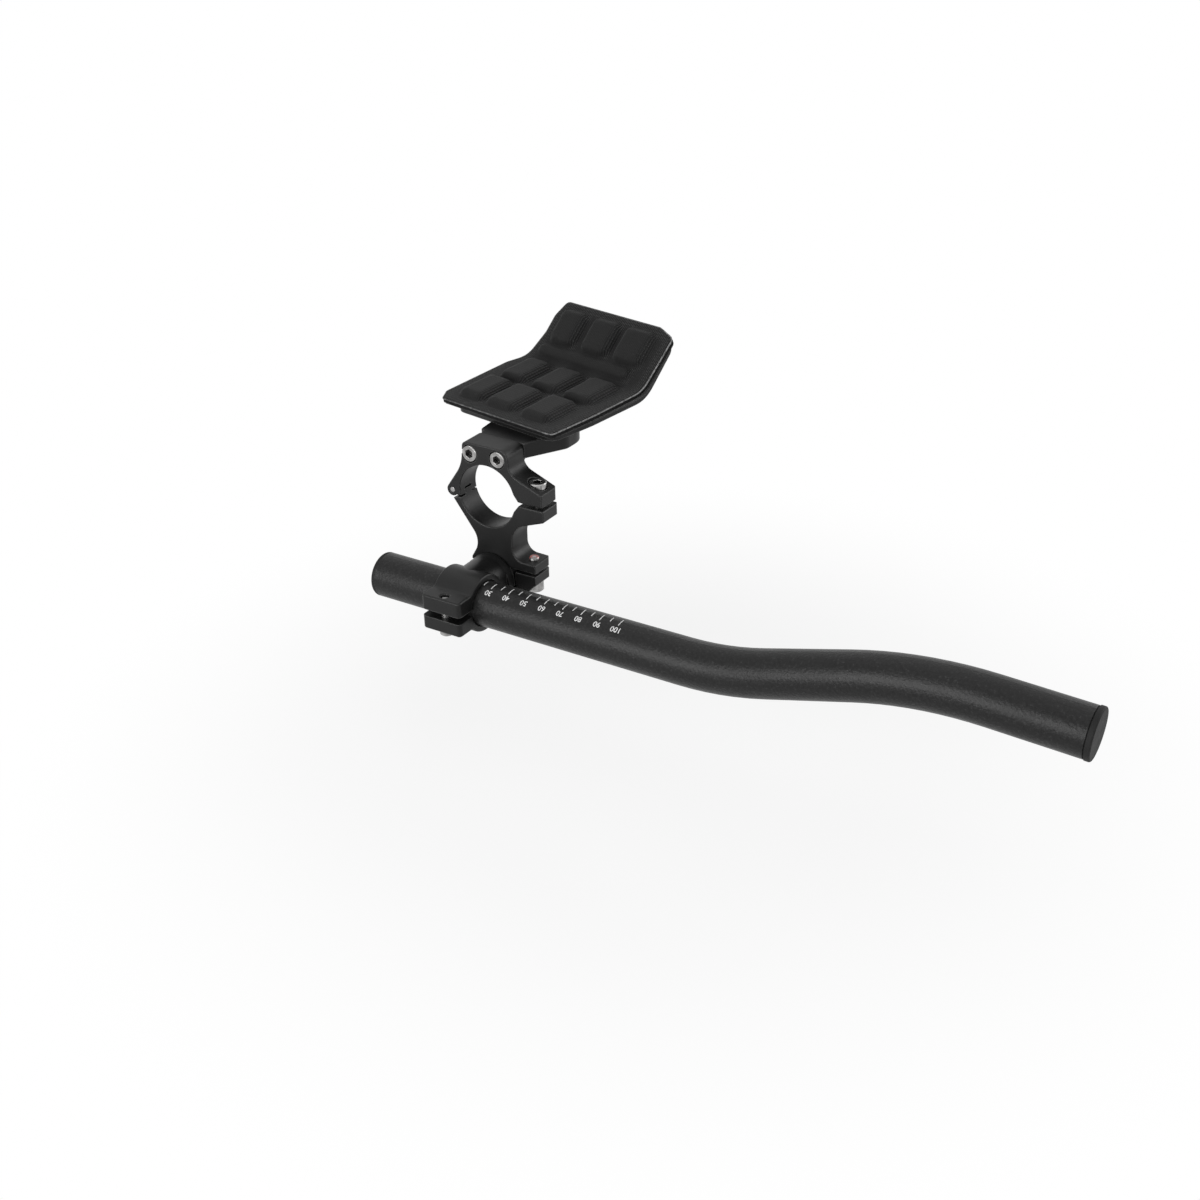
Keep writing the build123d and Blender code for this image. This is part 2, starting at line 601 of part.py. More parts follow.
tray = trimmed(0, tray_t, tray_inset, 4, tray_tuck)
screw_us = (1.0 - tray_screw_gap / 2, 1.0 + tray_screw_gap / 2)
screw_head_h = (tray_screw_head - tray_screw_d) / 2
screw_top = tray_t - 0.1
screw_len = arm_z - arm_low + 0.5
screws = []
for u in screw_us:
    spot = (u, tray_screw_v, screw_top)
    sink = (u, tray_screw_v, tray_t)
    sink_d = tray_screw_head + 0.4
    tray -= cone(sink_d, sink_d - 2 * tray_t, sink, (0, 0, -1), tray_t)
    head = cone(tray_screw_head, tray_screw_d, spot, (0, 0, -1), screw_head_h)
    screw = head + rod(tray_screw_d, spot, (0, 0, -1), screw_len)
    hexagon = Plane(spot, z_dir=(0, 0, -1)) * RegularPolygon(0.3 * tray_screw_d, 6, major_radius=False)
    screws.append(screw - extrude(hexagon, amount=0.4 * tray_screw_d))
    armrest_arm -= rest * rod(tray_screw_d + 2 * thread_play, (u, tray_screw_v, 1), (0, 0, -1), screw_len)
    low_d = sink_d - 2 * tray_t
    armrest_arm -= rest * cone(low_d, 0.1, (u, tray_screw_v, 0), (0, 0, -1), low_d / 2)
armrest_tray = rest * tray
tray_bolts = Compound([rest * screw for screw in screws])

patch_w = pad_rear + pad_front - 24
patch_mid = (pad_front - pad_rear) / 2
patches = []
for v in (pad_inner + 14, pad_bend - 20):
    patches.append(Pos(patch_mid, v, tray_t + hook_t / 2) * Box(patch_w, 16, hook_t))
lip_patch = Pos(patch_mid, lip_len / 2, hook_top - pad_top - hook_t / 2) * Box(patch_w - 8, 14, hook_t)
patches.append(lip_plane * lip_patch)
hook_patches = Compound([rest * patch for patch in patches])
pad_backing = rest * trimmed(hook_top, backing_top, 0.6, 0, 0)

pad = trimmed(backing_top, pad_top, 0, 0, 0)
flat_top = Plane((0, 0, pad_top))
row_a = pad_inner + 7.7
row_b = pad_bend - 27.5
for u_low, u_high in ((-46, -31), (-27, -9.5), (-3, 14)):
    pad += block(flat_top, u_low, u_high, row_a, row_b - 3.5)
for u_low, u_high in ((-44, -30), (-22, -7), (0, 16.5)):
    pad += block(flat_top, u_low, u_high, row_b, bend_v)
    pad += block(lip_plane, u_low + 1.5, u_high, 11, lip_len - 4.9)
pad += block(lip_plane, -46, 15.5, 2.5, 8)
armrest_pad = rest * pad

os.makedirs("parts", exist_ok=True)
export_step(bracket_body, "parts/bracket_body.step")
export_step(handlebar_clamp_cap, "parts/handlebar_clamp_cap.step")
export_step(handlebar_hinge_pin, "parts/handlebar_hinge_pin.step")
export_step(handlebar_clamp_bolt, "parts/handlebar_clamp_bolt.step")
export_step(tilt_clamp_cap, "parts/tilt_clamp_cap.step")
export_step(tilt_hinge_pin, "parts/tilt_hinge_pin.step")
export_step(tilt_clamp_bolt, "parts/tilt_clamp_bolt.step")
export_step(extension_clamp, "parts/extension_clamp.step")
export_step(extension_clamp_bolt, "parts/extension_clamp_bolt.step")
export_step(extension_tube, "parts/extension_tube.step")
export_step(rear_end_plug, "parts/rear_end_plug.step")
export_step(front_end_plug, "parts/front_end_plug.step")
export_step(armrest_arm, "parts/armrest_arm.step")
export_step(arm_bolts, "parts/arm_bolts.step")
export_step(armrest_tray, "parts/armrest_tray.step")
export_step(tray_bolts, "parts/tray_bolts.step")
export_step(hook_patches, "parts/hook_patches.step")
export_step(pad_backing, "parts/pad_backing.step")
export_step(armrest_pad, "parts/armrest_pad.step")
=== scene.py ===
import json
import math

import bmesh
import bpy
import numpy as np
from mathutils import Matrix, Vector


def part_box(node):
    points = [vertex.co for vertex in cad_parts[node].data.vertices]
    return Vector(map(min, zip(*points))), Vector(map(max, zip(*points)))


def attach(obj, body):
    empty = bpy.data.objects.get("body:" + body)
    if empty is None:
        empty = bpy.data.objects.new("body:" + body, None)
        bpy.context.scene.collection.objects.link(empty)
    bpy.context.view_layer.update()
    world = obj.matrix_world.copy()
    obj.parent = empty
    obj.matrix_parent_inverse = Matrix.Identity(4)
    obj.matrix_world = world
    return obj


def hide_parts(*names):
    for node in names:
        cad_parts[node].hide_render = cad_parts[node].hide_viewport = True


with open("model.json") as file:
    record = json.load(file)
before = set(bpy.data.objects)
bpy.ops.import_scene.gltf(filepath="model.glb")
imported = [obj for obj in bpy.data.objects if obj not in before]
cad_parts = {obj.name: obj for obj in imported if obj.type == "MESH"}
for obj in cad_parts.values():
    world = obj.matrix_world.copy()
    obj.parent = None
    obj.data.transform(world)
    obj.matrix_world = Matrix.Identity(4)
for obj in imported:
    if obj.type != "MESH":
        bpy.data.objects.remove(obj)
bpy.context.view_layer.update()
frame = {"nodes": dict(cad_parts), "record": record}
nodes = frame["nodes"]
mm = 0.001


# small helpers for node trees

def addNode(tree, kind, sockets=None, **settings):
    node = tree.nodes.new(kind)
    for name, value in settings.items():
        setattr(node, name, value)
    for name, value in (sockets or {}).items():
        node.inputs[name].default_value = value
    return node


def wire(tree, source, output, target, socket):
    tree.links.new(source.outputs[output], target.inputs[socket])


def startMaterial(name, sockets):
    material = bpy.data.materials.new(name)
    material.use_nodes = True
    tree = material.node_tree
    tree.nodes.clear()
    shader = addNode(tree, "ShaderNodeBsdfPrincipled", sockets)
    output = addNode(tree, "ShaderNodeOutputMaterial")
    wire(tree, shader, "BSDF", output, "Surface")
    return material, tree, shader


def colourRamp(tree, source, output, stops):
    ramp = addNode(tree, "ShaderNodeValToRGB")
    elements = ramp.color_ramp.elements
    while len(elements) < len(stops):
        elements.new(0.5)
    for element, (place, grey) in zip(elements, stops):
        tone = grey if isinstance(grey, tuple) else (grey, grey, grey)
        element.position = place
        element.color = (*tone, 1.0)
    wire(tree, source, output, ramp, "Fac")
    return ramp


def noiseOn(tree, coords, output, scale, detail=2.0, rough=0.5, stretch=None):
    noise = addNode(tree, "ShaderNodeTexNoise", {"Scale": scale, "Detail": detail, "Roughness": rough})
    if stretch:
        mapping = addNode(tree, "ShaderNodeMapping", {"Scale": stretch})
        wire(tree, coords, output, mapping, "Vector")
        wire(tree, mapping, "Vector", noise, "Vector")
    else:
        wire(tree, coords, output, noise, "Vector")
    return noise


def bumpFrom(tree, source, output, strength, depth, under=None):
    bump = addNode(tree, "ShaderNodeBump", {"Strength": strength, "Distance": depth})
    wire(tree, source, output, bump, "Height")
    if under:
        wire(tree, under, "Normal", bump, "Normal")
    return bump


def spread(tree, source, output, low, high):
    # the middle of a pattern's range, drawn out from low to high
    remap = addNode(tree, "ShaderNodeMapRange", {
        "From Min": 0.3, "From Max": 0.7, "To Min": low, "To Max": high,
    })
    wire(tree, source, output, remap, "Value")
    return remap


# camera

cameraSet = {
    "place": (0.412632, -0.563295, 0.315570),   # metres
    "turn": (61.6400, 0.8573, 31.6727),         # degrees
    "lens": 47.514,
    "sensor": 36.0,
    "near": 0.01,
    "far": 30.0,
}


def makeCamera():
    data = bpy.data.cameras.new("studioCamera")
    data.lens = cameraSet["lens"]
    data.sensor_width = cameraSet["sensor"]
    data.sensor_fit = "HORIZONTAL"
    data.clip_start = cameraSet["near"]
    data.clip_end = cameraSet["far"]
    camera = bpy.data.objects.new("studioCamera", data)
    camera.location = cameraSet["place"]
    camera.rotation_euler = [math.radians(a) for a in cameraSet["turn"]]
    bpy.context.scene.collection.objects.link(camera)
    bpy.context.scene.camera = camera


makeCamera()
print("camera: lens %.1f mm" % cameraSet["lens"])


# backdrop, floor and lamps

studioSet = {
    "fill": 0.28,             # world light on the object
    "floorZ": -0.112,         # clear of the tube at every setting
    "floorReach": 4.0,
    "floorMiddle": (0.09, 0.0),
    "floorWhite": 0.85,
    "shadowShare": 0.22,      # how much of the floor's own shading shows under the object
    "mirrorShare": 0.92,      # how much of its white shows in the object's gloss
    "fadeFrom": 0.10,         # from the floor's middle, where the shading turns to plain white
    "fadeTo": 0.32,
    "lampAim": (0.09, 0.0, -0.01),
}

lampSet = {
    "leftStrip": {"place": (-0.14, -0.96, 0.24), "wide": 0.90, "tall": 0.60, "power": 9.0},
    "topBox": {"place": (0.05, 0.20, 1.15), "wide": 1.60, "tall": 1.60, "power": 3.2},
    "frontBox": {"place": (0.90, -0.60, 0.25), "wide": 0.70, "tall": 0.50, "power": 1.4},
    "backBox": {"place": (0.75, 0.85, 0.40), "wide": 0.90, "tall": 0.60, "power": 5.5},
}


def seenDirectly(tree, mirrored=1.0):
    path = addNode(tree, "ShaderNodeLightPath")
    gloss = addNode(tree, "ShaderNodeMath", operation="MULTIPLY")
    gloss.inputs[1].default_value = mirrored
    first = addNode(tree, "ShaderNodeMath", operation="MAXIMUM")
    second = addNode(tree, "ShaderNodeMath", operation="MAXIMUM")
    wire(tree, path, "Is Glossy Ray", gloss, 0)
    wire(tree, path, "Is Camera Ray", first, 0)
    wire(tree, gloss, 0, first, 1)
    wire(tree, first, 0, second, 0)
    wire(tree, path, "Is Transmission Ray", second, 1)
    return second


def makeWorld():
    world = bpy.data.worlds.new("studioWorld")
    world.use_nodes = True
    tree = world.node_tree
    tree.nodes.clear()
    fill = addNode(tree, "ShaderNodeBackground", {"Color": (1, 1, 1, 1), "Strength": studioSet["fill"]})
    white = addNode(tree, "ShaderNodeBackground", {"Color": (1, 1, 1, 1), "Strength": 1.0})
    mix = addNode(tree, "ShaderNodeMixShader")
    output = addNode(tree, "ShaderNodeOutputWorld")
    wire(tree, seenDirectly(tree), 0, mix, 0)
    wire(tree, fill, 0, mix, 1)
    wire(tree, white, 0, mix, 2)
    wire(tree, mix, 0, output, 0)
    bpy.context.scene.world = world


def makeFloor():
    material = bpy.data.materials.new("paleFloor")
    material.use_nodes = True
    tree = material.node_tree
    tree.nodes.clear()
    white = studioSet["floorWhite"]
    matt = addNode(tree, "ShaderNodeBsdfDiffuse", {"Color": (white, white, white, 1)})
    glow = addNode(tree, "ShaderNodeEmission", {"Color": (1, 1, 1, 1), "Strength": 1.0})
    coords = addNode(tree, "ShaderNodeTexCoord")
    reach = addNode(tree, "ShaderNodeVectorMath", operation="DISTANCE")
    reach.inputs[1].default_value = (*studioSet["floorMiddle"], studioSet["floorZ"])
    fade = addNode(tree, "ShaderNodeMapRange", {
        "From Min": studioSet["fadeFrom"], "From Max": studioSet["fadeTo"],
        "To Min": 1 - studioSet["shadowShare"], "To Max": 1.0,
    }, interpolation_type="SMOOTHSTEP")
    share = addNode(tree, "ShaderNodeMath", operation="MULTIPLY")
    mix = addNode(tree, "ShaderNodeMixShader")
    output = addNode(tree, "ShaderNodeOutputMaterial")
    wire(tree, coords, "Object", reach, 0)
    wire(tree, reach, "Value", fade, "Value")
    wire(tree, fade, 0, share, 0)
    wire(tree, seenDirectly(tree, studioSet["mirrorShare"]), 0, share, 1)
    wire(tree, share, 0, mix, 0)
    wire(tree, matt, 0, mix, 1)
    wire(tree, glow, 0, mix, 2)
    wire(tree, mix, 0, output, 0)
    half = studioSet["floorReach"]
    z = studioSet["floorZ"]
    mesh = bpy.data.meshes.new("paleFloor")
    corners = [(-half, -half, z), (half, -half, z), (half, half, z), (-half, half, z)]
    mesh.from_pydata(corners, [], [(0, 1, 2, 3)])
    mesh.materials.append(material)
    floor = bpy.data.objects.new("paleFloor", mesh)
    bpy.context.scene.collection.objects.link(floor)


def makeLamps():
    for name, lamp in lampSet.items():
        data = bpy.data.lights.new(name, "AREA")
        data.shape = "RECTANGLE"
        data.size = lamp["wide"]
        data.size_y = lamp["tall"]
        data.energy = lamp["power"]
        light = bpy.data.objects.new(name, data)
        light.location = lamp["place"]
        aim = Vector(studioSet["lampAim"]) - Vector(lamp["place"])
        light.rotation_euler = aim.to_track_quat("-Z", "Y").to_euler()
        bpy.context.scene.collection.objects.link(light)


makeWorld()
makeFloor()
makeLamps()
bpy.context.scene.view_settings.view_transform = "Standard"
print("studio: %d lamps" % len(lampSet))


# metal and plastic finishes of the carried-over pieces

def roundedEdges(tree, radius):
    # softens the shading of sharp edges, with a mask of where it does
    bevel = addNode(tree, "ShaderNodeBevel", {"Radius": radius}, samples=6)
    face = addNode(tree, "ShaderNodeNewGeometry")
    match = addNode(tree, "ShaderNodeVectorMath", operation="DOT_PRODUCT")
    edge = addNode(tree, "ShaderNodeMapRange", {"From Min": 0.985, "From Max": 0.80})
    wire(tree, bevel, "Normal", match, 0)
    wire(tree, face, "Normal", match, 1)
    wire(tree, match, "Value", edge, "Value")
    return bevel, edge


def rubbedEdges(tree, edge, tone, wear, shader, grey):
    # thin spots of the finish where edges get handled, painted pale also as a painted highlight along the
    # edges
    patchy = addNode(tree, "ShaderNodeMath", operation="MULTIPLY")
    mix = addNode(tree, "ShaderNodeMixRGB", {"Color2": (grey, grey, grey, 1)})
    wire(tree, edge, 0, patchy, 0)
    wire(tree, wear, "Fac", patchy, 1)
    wire(tree, patchy, 0, mix, "Fac")
    wire(tree, tone, "Color", mix, "Color1")
    wire(tree, mix, "Color", shader, "Base Color")


anodisedSet = {
    "name": "satinAnodised",
    "gloss": 0.25,
    "cloud": 70,                # pattern scales
    "grain": 2600,
    "wear": 420,
    "edge": 0.0007,             # how round the edges look, metres
    "tone": (0.0045, 0.0070),
    "rubbedAndGlint": 0.15,             # grey of the rubbed edges, also their painted highlight
    "rough": (0.36, 0.46),
    "bump": (0.10, 0.00006),    # strength, depth
}

traySet = {
    "name": "trayBlack",
    "gloss": 0.22,
    "cloud": 120,
    "grain": 900,
    "wear": 500,
    "edge": 0.0006,
    "tone": (0.007, 0.011),
    # the tray's rubbed edges are painted pale, partly as a painted highlight
    "rubbedAndGlint": 0.30,
    "rough": (0.30, 0.40),
    "bump": (0.08, 0.0001),
}


def makeSatin(look):
    material, tree, shader = startMaterial(look["name"], {"IOR": 1.5, "Specular IOR Level": look["gloss"]})
    coords = addNode(tree, "ShaderNodeTexCoord")
    cloud = noiseOn(tree, coords, "Object", look["cloud"], 3)
    grain = noiseOn(tree, coords, "Object", look["grain"], 2)
    wear = noiseOn(tree, coords, "Object", look["wear"], 3, 0.6)
    bevel, edge = roundedEdges(tree, look["edge"])
    dark, light = look["tone"]
    tone = colourRamp(tree, cloud, "Fac", [(0.3, dark), (0.7, light)])
    rubbedEdges(tree, edge, tone, wear, shader, look["rubbedAndGlint"])
    rough = spread(tree, cloud, "Fac", *look["rough"])
    wire(tree, rough, 0, shader, "Roughness")
    bump = bumpFrom(tree, grain, "Fac", *look["bump"], bevel)
    wire(tree, bump, "Normal", shader, "Normal")
    return material


def makeBlasted():
    material, tree, shader = startMaterial("blastedTube", {"IOR": 1.5, "Specular IOR Level": 0.21})
    coords = addNode(tree, "ShaderNodeTexCoord")
    cloud = noiseOn(tree, coords, "Object", 45, 3)
    grain = noiseOn(tree, coords, "Object", 760, 3, 0.6)
    speck = addNode(tree, "ShaderNodeTexVoronoi", {"Scale": 900.0}, feature="F1")
    wire(tree, coords, "Object", speck, "Vector")
    # the palest stop paints bright sparkle specks, a painted glint, over the grain's mottled tone
    tone = colourRamp(tree, grain, "Fac", [(0.30, 0.0055), (0.60, 0.011), (0.78, 0.034)])
    wire(tree, tone, "Color", shader, "Base Color")
    rough = spread(tree, cloud, "Fac", 0.33, 0.41)
    wire(tree, rough, 0, shader, "Roughness")
    fine = bumpFrom(tree, grain, "Fac", 0.70, 0.00027)
    pits = bumpFrom(tree, speck, "Distance", 0.25, 0.00012, fine)
    wire(tree, pits, "Normal", shader, "Normal")
    return material


lockSet = {                     # locking paint on the tilt bolt's tip, metres
    "x": 0.0216,
    "z": -0.0309,
    "inner": 0.0006,
    "outer": 0.0012,
    "side": (-0.6, 0.8, 0.0),
    "from": -0.0016,
    "full": -0.0004,
    "red": (0.38, 0.028, 0.016, 1),
}


def addLockPaint(tree, coords, cloud, tone, shader, lock):
    # red paint on one side of the thread's tip
    split = addNode(tree, "ShaderNodeSeparateXYZ")
    centre = addNode(tree, "ShaderNodeMapping", {"Location": (-lock["x"], 0.0, 0.0)})
    flat = addNode(tree, "ShaderNodeVectorMath", operation="MULTIPLY")
    flat.inputs[1].default_value = (1, 1, 0)
    radius = addNode(tree, "ShaderNodeVectorMath", operation="LENGTH")
    facing = addNode(tree, "ShaderNodeVectorMath", operation="DOT_PRODUCT")
    facing.inputs[1].default_value = lock["side"]
    sided = addNode(tree, "ShaderNodeMapRange", {"From Min": lock["from"], "From Max": lock["full"]})
    high = addNode(tree, "ShaderNodeMath", operation="GREATER_THAN")
    high.inputs[1].default_value = lock["z"]
    ring = addNode(tree, "ShaderNodeMapRange", {"From Min": lock["inner"], "From Max": lock["outer"]})
    tip = addNode(tree, "ShaderNodeMath", operation="MULTIPLY")
    patch = addNode(tree, "ShaderNodeMath", operation="MULTIPLY")
    ragged = addNode(tree, "ShaderNodeMath", operation="MULTIPLY")
    blotch = spread(tree, cloud, "Fac", 0.55, 1.0)
    mix = addNode(tree, "ShaderNodeMixRGB", {"Color2": lock["red"]})
    dull = addNode(tree, "ShaderNodeMath", operation="SUBTRACT")
    dull.inputs[0].default_value = 1.0
    wire(tree, coords, "Object", split, 0)
    wire(tree, coords, "Object", centre, "Vector")
    wire(tree, centre, "Vector", flat, 0)
    wire(tree, flat, 0, radius, 0)
    wire(tree, flat, 0, facing, 0)
    wire(tree, facing, "Value", sided, "Value")
    wire(tree, split, "Z", high, 0)
    wire(tree, radius, "Value", ring, "Value")
    wire(tree, high, 0, tip, 0)
    wire(tree, ring, 0, tip, 1)
    wire(tree, tip, 0, patch, 0)
    wire(tree, sided, 0, patch, 1)
    wire(tree, patch, 0, ragged, 0)
    wire(tree, blotch, 0, ragged, 1)
    wire(tree, ragged, 0, mix, "Fac")
    wire(tree, tone, "Color", mix, "Color1")
    wire(tree, mix, "Color", shader, "Base Color")
    wire(tree, ragged, 0, dull, 1)
    wire(tree, dull, 0, shader, "Metallic")


def makeStainless(name="brightStainless", lock=None):
    material, tree, shader = startMaterial(name, {"Metallic": 1.0})
    coords = addNode(tree, "ShaderNodeTexCoord")
    cloud = noiseOn(tree, coords, "Object", 380, 3)
    turned = noiseOn(tree, coords, "Object", 260, 2, 0.5, (1.0, 1.0, 12.0))
    bright = colourRamp(tree, cloud, "Fac", [(0.3, (0.22, 0.217, 0.213)), (0.7, (0.44, 0.435, 0.43))])
    # painted shade darkens the key sockets and the roots under the heads
    depth = addNode(tree, "ShaderNodeAmbientOcclusion", {"Distance": 0.0025}, samples=8, only_local=True)
    socketShade = colourRamp(tree, depth, "AO", [(0.30, 0.03), (0.85, 1.0)])
    tone = addNode(tree, "ShaderNodeMixRGB", {"Fac": 1.0}, blend_type="MULTIPLY")
    wire(tree, bright, "Color", tone, "Color1")
    wire(tree, socketShade, "Color", tone, "Color2")
    bevel, _ = roundedEdges(tree, 0.0003)
    rough = spread(tree, turned, "Fac", 0.12, 0.26)
    bump = bumpFrom(tree, turned, "Fac", 0.08, 0.00008, bevel)
    wire(tree, rough, 0, shader, "Roughness")
    wire(tree, bump, "Normal", shader, "Normal")
    if lock:
        addLockPaint(tree, coords, cloud, tone, shader, lock)
    else:
        wire(tree, tone, "Color", shader, "Base Color")
    return material


def makePlastic():
    material, tree, shader = startMaterial("blackPlastic", {"IOR": 1.46, "Specular IOR Level": 0.20})
    coords = addNode(tree, "ShaderNodeTexCoord")
    cloud = noiseOn(tree, coords, "Object", 150, 3)
    grain = noiseOn(tree, coords, "Object", 1500, 2)
    tone = colourRamp(tree, cloud, "Fac", [(0.3, 0.010), (0.7, 0.015)])
    wire(tree, tone, "Color", shader, "Base Color")
    rough = spread(tree, cloud, "Fac", 0.62, 0.72)
    wire(tree, rough, 0, shader, "Roughness")
    bump = bumpFrom(tree, grain, "Fac", 0.12, 0.00008)
    wire(tree, bump, "Normal", shader, "Normal")
    return material


def makeHookTape():
    material, tree, shader = startMaterial("hookTape", {
        "Roughness": 0.95, "Specular IOR Level": 0.1, "Sheen Weight": 0.25, "Sheen Roughness": 0.6,
    })
    coords = addNode(tree, "ShaderNodeTexCoord")
    fuzz = noiseOn(tree, coords, "Object", 1400, 4, 0.7)
    tone = colourRamp(tree, fuzz, "Fac", [(0.35, 0.004), (0.65, 0.014)])
    wire(tree, tone, "Color", shader, "Base Color")
    bump = bumpFrom(tree, fuzz, "Fac", 0.8, 0.0004)
    wire(tree, bump, "Normal", shader, "Normal")
    return material


finishes = {
    "anodised_black": makeSatin(anodisedSet),
    "blasted_black": makeBlasted(),
    "tray_black": makeSatin(traySet),
    "stainless": makeStainless(),
    "black_plastic": makePlastic(),
    "hook_tape": makeHookTape(),
}
lockedBolt = makeStainless("lockedStainless", lockSet)

for part in frame["record"]["subparts"]:
    piece = nodes[part["node"]]
    finish = finishes.get(part["material_slot"])
    if part["node"] == "tilt_clamp_bolt":
        finish = lockedBolt
    if finish:
        piece.data.materials.clear()
        piece.data.materials.append(finish)
print("finishes: %d" % (len(finishes) + 1))


# armrest pad: moulded blocks under a ribbed cover, laid out flat as (u, s) and bent up at the lip

padSet = {
    "armTop": 24.26,            # mm, all of it in the armrest's own frame
    "pitch": 1.035,
    "roll": 5.07,
    "yaw": 11.5,
    "topLevel": 5.84,
    "lowLevel": 3.16,
    "bendLevel": 20.0,
    "bendStart": 70.85,
    "lipAngle": 40.0,
    "innerSlope": 0.016,        # the inner edge swings out by this towards the front
    "slopeReach": 25.0,
    "edgeRound": 1.1,
    "edgeDrop": 0.6,
    "blockRise": 3.1,
    "stripRise": 1.7,
    "shoulder": 0.7,            # how far in from a block's outline its side climbs
    "skirt": 1.2,               # how far out it starts
    "stripSkirt": 0.7,
    "frontSkirt": 3.2,          # and on the long slope towards the front
    "corner": 3.2,
    "width": 85.0,
    "cell": 1.0,
    "edgeRows": [0.0, 0.35, 0.85, 1.5, 2.3],    # grid lines close to the edge
    "edgeBand": 3.2,
    "rowInset": 0.02,
    "heldBelow": 0.6,           # lower than this the cover is stuck down
    "quality": 6,
    "pressure": 3.0,
    "simScale": 20.0,
    "frames": 20,
    "cap": 0.4,                 # most that a point may move
    "laidUnit": 100.0,          # of cover to one unit of its UV map
    "bandScale": 31.416,        # wave scale of bands 1 mm apart on that map
    "ribPitch": 1.05,
    "coursePitch": 1.7,         # loops along each rib
    "ribFaint": 0.15,           # share of the ribs left on the flat tops
    "ribReach": 3.0,            # how far in from the edge they stay full
    "ribSlope": (1.0, 4.0, 2.0),    # past a block's front, fading over, beyond its ends
}

padCorners = [                  # u, s, corner radius
    (-55.0, 21.7, 2.0), (-50.5, 14.7, 2.0), (24.4, 14.7, 3.0),
    (26.9, 42.0, 20.0), (27.9, 75.8, 20.0), (29.0, 105.8, 3.0),
    (18.6, 109.5, 5.0), (-45.2, 109.5, 3.0), (-48.5, 100.6, 6.0),
    (-48.5, 90.6, 10.0), (-51.8, 75.6, 10.0), (-55.0, 64.0, 8.0),
]

padBlocks = (                   # u from, u to, s from, s to, rise
    [(u0, u1, 22.0, 45.0, "blockRise") for u0, u1 in ((-46.0, -31.0), (-27.0, -9.5), (-3.0, 13.5))]
    + [(u0, u1, 48.5, 70.85, "blockRise") for u0, u1 in ((-44.0, -29.0), (-22.0, -6.0), (0.0, 17.0))]
    + [(u0, u1, 86.6, 104.6, "blockRise") for u0, u1 in ((-42.5, -27.5), (-20.5, -4.5), (1.5, 18.5))]
    + [(-46.0, 15.5, 78.1, 83.6, "stripRise")]
)


def restAxes():
    pitch, roll, yaw = (math.radians(padSet[turn]) for turn in ("pitch", "roll", "yaw"))
    normal = Vector((-math.tan(pitch), -math.tan(roll), 1.0)).normalized()
    forward = Vector((math.cos(yaw), -math.sin(yaw), 0.0))
    forward = (forward - normal * forward.dot(normal)).normalized()
    return Vector((0.0, 0.0, padSet["armTop"])), forward, normal.cross(forward), normal


def restPoint(u, s, level):
    # a point of the sheet at this level, s measured along the pad's top
    base, forward, outward, normal = restAxes()
    lip = math.radians(padSet["lipAngle"])
    start = padSet["bendStart"]
    radius = padSet["bendLevel"] - padSet["topLevel"]
    turn = min(max((s - start) / radius, 0.0), lip)
    reach = padSet["bendLevel"] - level
    v = min(s, start) + reach * math.sin(turn)
    n = padSet["bendLevel"] - reach * math.cos(turn)
    past = max(s - start - radius * lip, 0.0)
    v += past * math.cos(lip)
    n += past * math.sin(lip)
    return (base + forward * u + outward * v + normal * n) * mm


def roundOutline(corners, steps=8, most=0.45):
    # each corner takes up no more than this share of the sides beside it
    points = []
    for i, (u, s, r) in enumerate(corners):
        here = Vector((u, s))
        before = Vector(corners[i - 1][:2]) - here
        after = Vector(corners[(i + 1) % len(corners)][:2]) - here
        half = before.angle(after) / 2
        reach = min(r / math.tan(half), most * before.length, most * after.length)
        first = here + before.normalized() * reach
        last = here + after.normalized() * reach
        for k in range(steps + 1):
            t = k / steps
            points.append(first * (1 - t) ** 2 + here * (2 * t * (1 - t)) + last * t ** 2)
    return points


def spanAt(outline, s):
    hits = []
    for a, b in zip(outline, outline[1:] + outline[:1]):
        if (a.y - s) * (b.y - s) <= 0 and a.y != b.y:
            hits.append(a.x + (b.x - a.x) * (s - a.y) / (b.y - a.y))
    return min(hits), max(hits)


def edgeSpaced(low, high, count):
    near = padSet["edgeRows"]
    inner = np.linspace(low + padSet["edgeBand"], high - padSet["edgeBand"], count)
    return [low + d for d in near] + list(inner) + [high - d for d in reversed(near)]


def edgeDistance(outline, u, s):
    best = 1e9
    for a, b in zip(outline, outline[1:] + outline[:1]):
        along = b - a
        ahead = (u - a.x) * along.x + (s - a.y) * along.y
        t = min(max(ahead / max(along.length_squared, 1e-9), 0.0), 1.0)
        best = min(best, math.hypot(u - a.x - along.x * t, s - a.y - along.y * t))
    return best


def smooth(t):
    t = min(max(t, 0.0), 1.0)
    return t * t * (3 - 2 * t)


def blockHeight(u, s):
    best = 0.0
    for u0, u1, s0, s1, rise in padBlocks:
        r = min(padSet["corner"], (s1 - s0) / 2 - 0.1)
        outU = abs(u - (u0 + u1) / 2) - (u1 - u0) / 2
        outS = abs(s - (s0 + s1) / 2) - (s1 - s0) / 2
        skirt = padSet["stripSkirt"] if rise == "stripRise" else padSet["skirt"]
        if u > u1:
            outU *= skirt / padSet["frontSkirt"]
        corner = math.hypot(max(outU + r, 0.0), max(outS + r, 0.0))
        away = corner + min(max(outU + r, outS + r), 0.0) - r
        climb = smooth((skirt - away) / (skirt + padSet["shoulder"]))
        best = max(best, climb * padSet[rise])
    return best


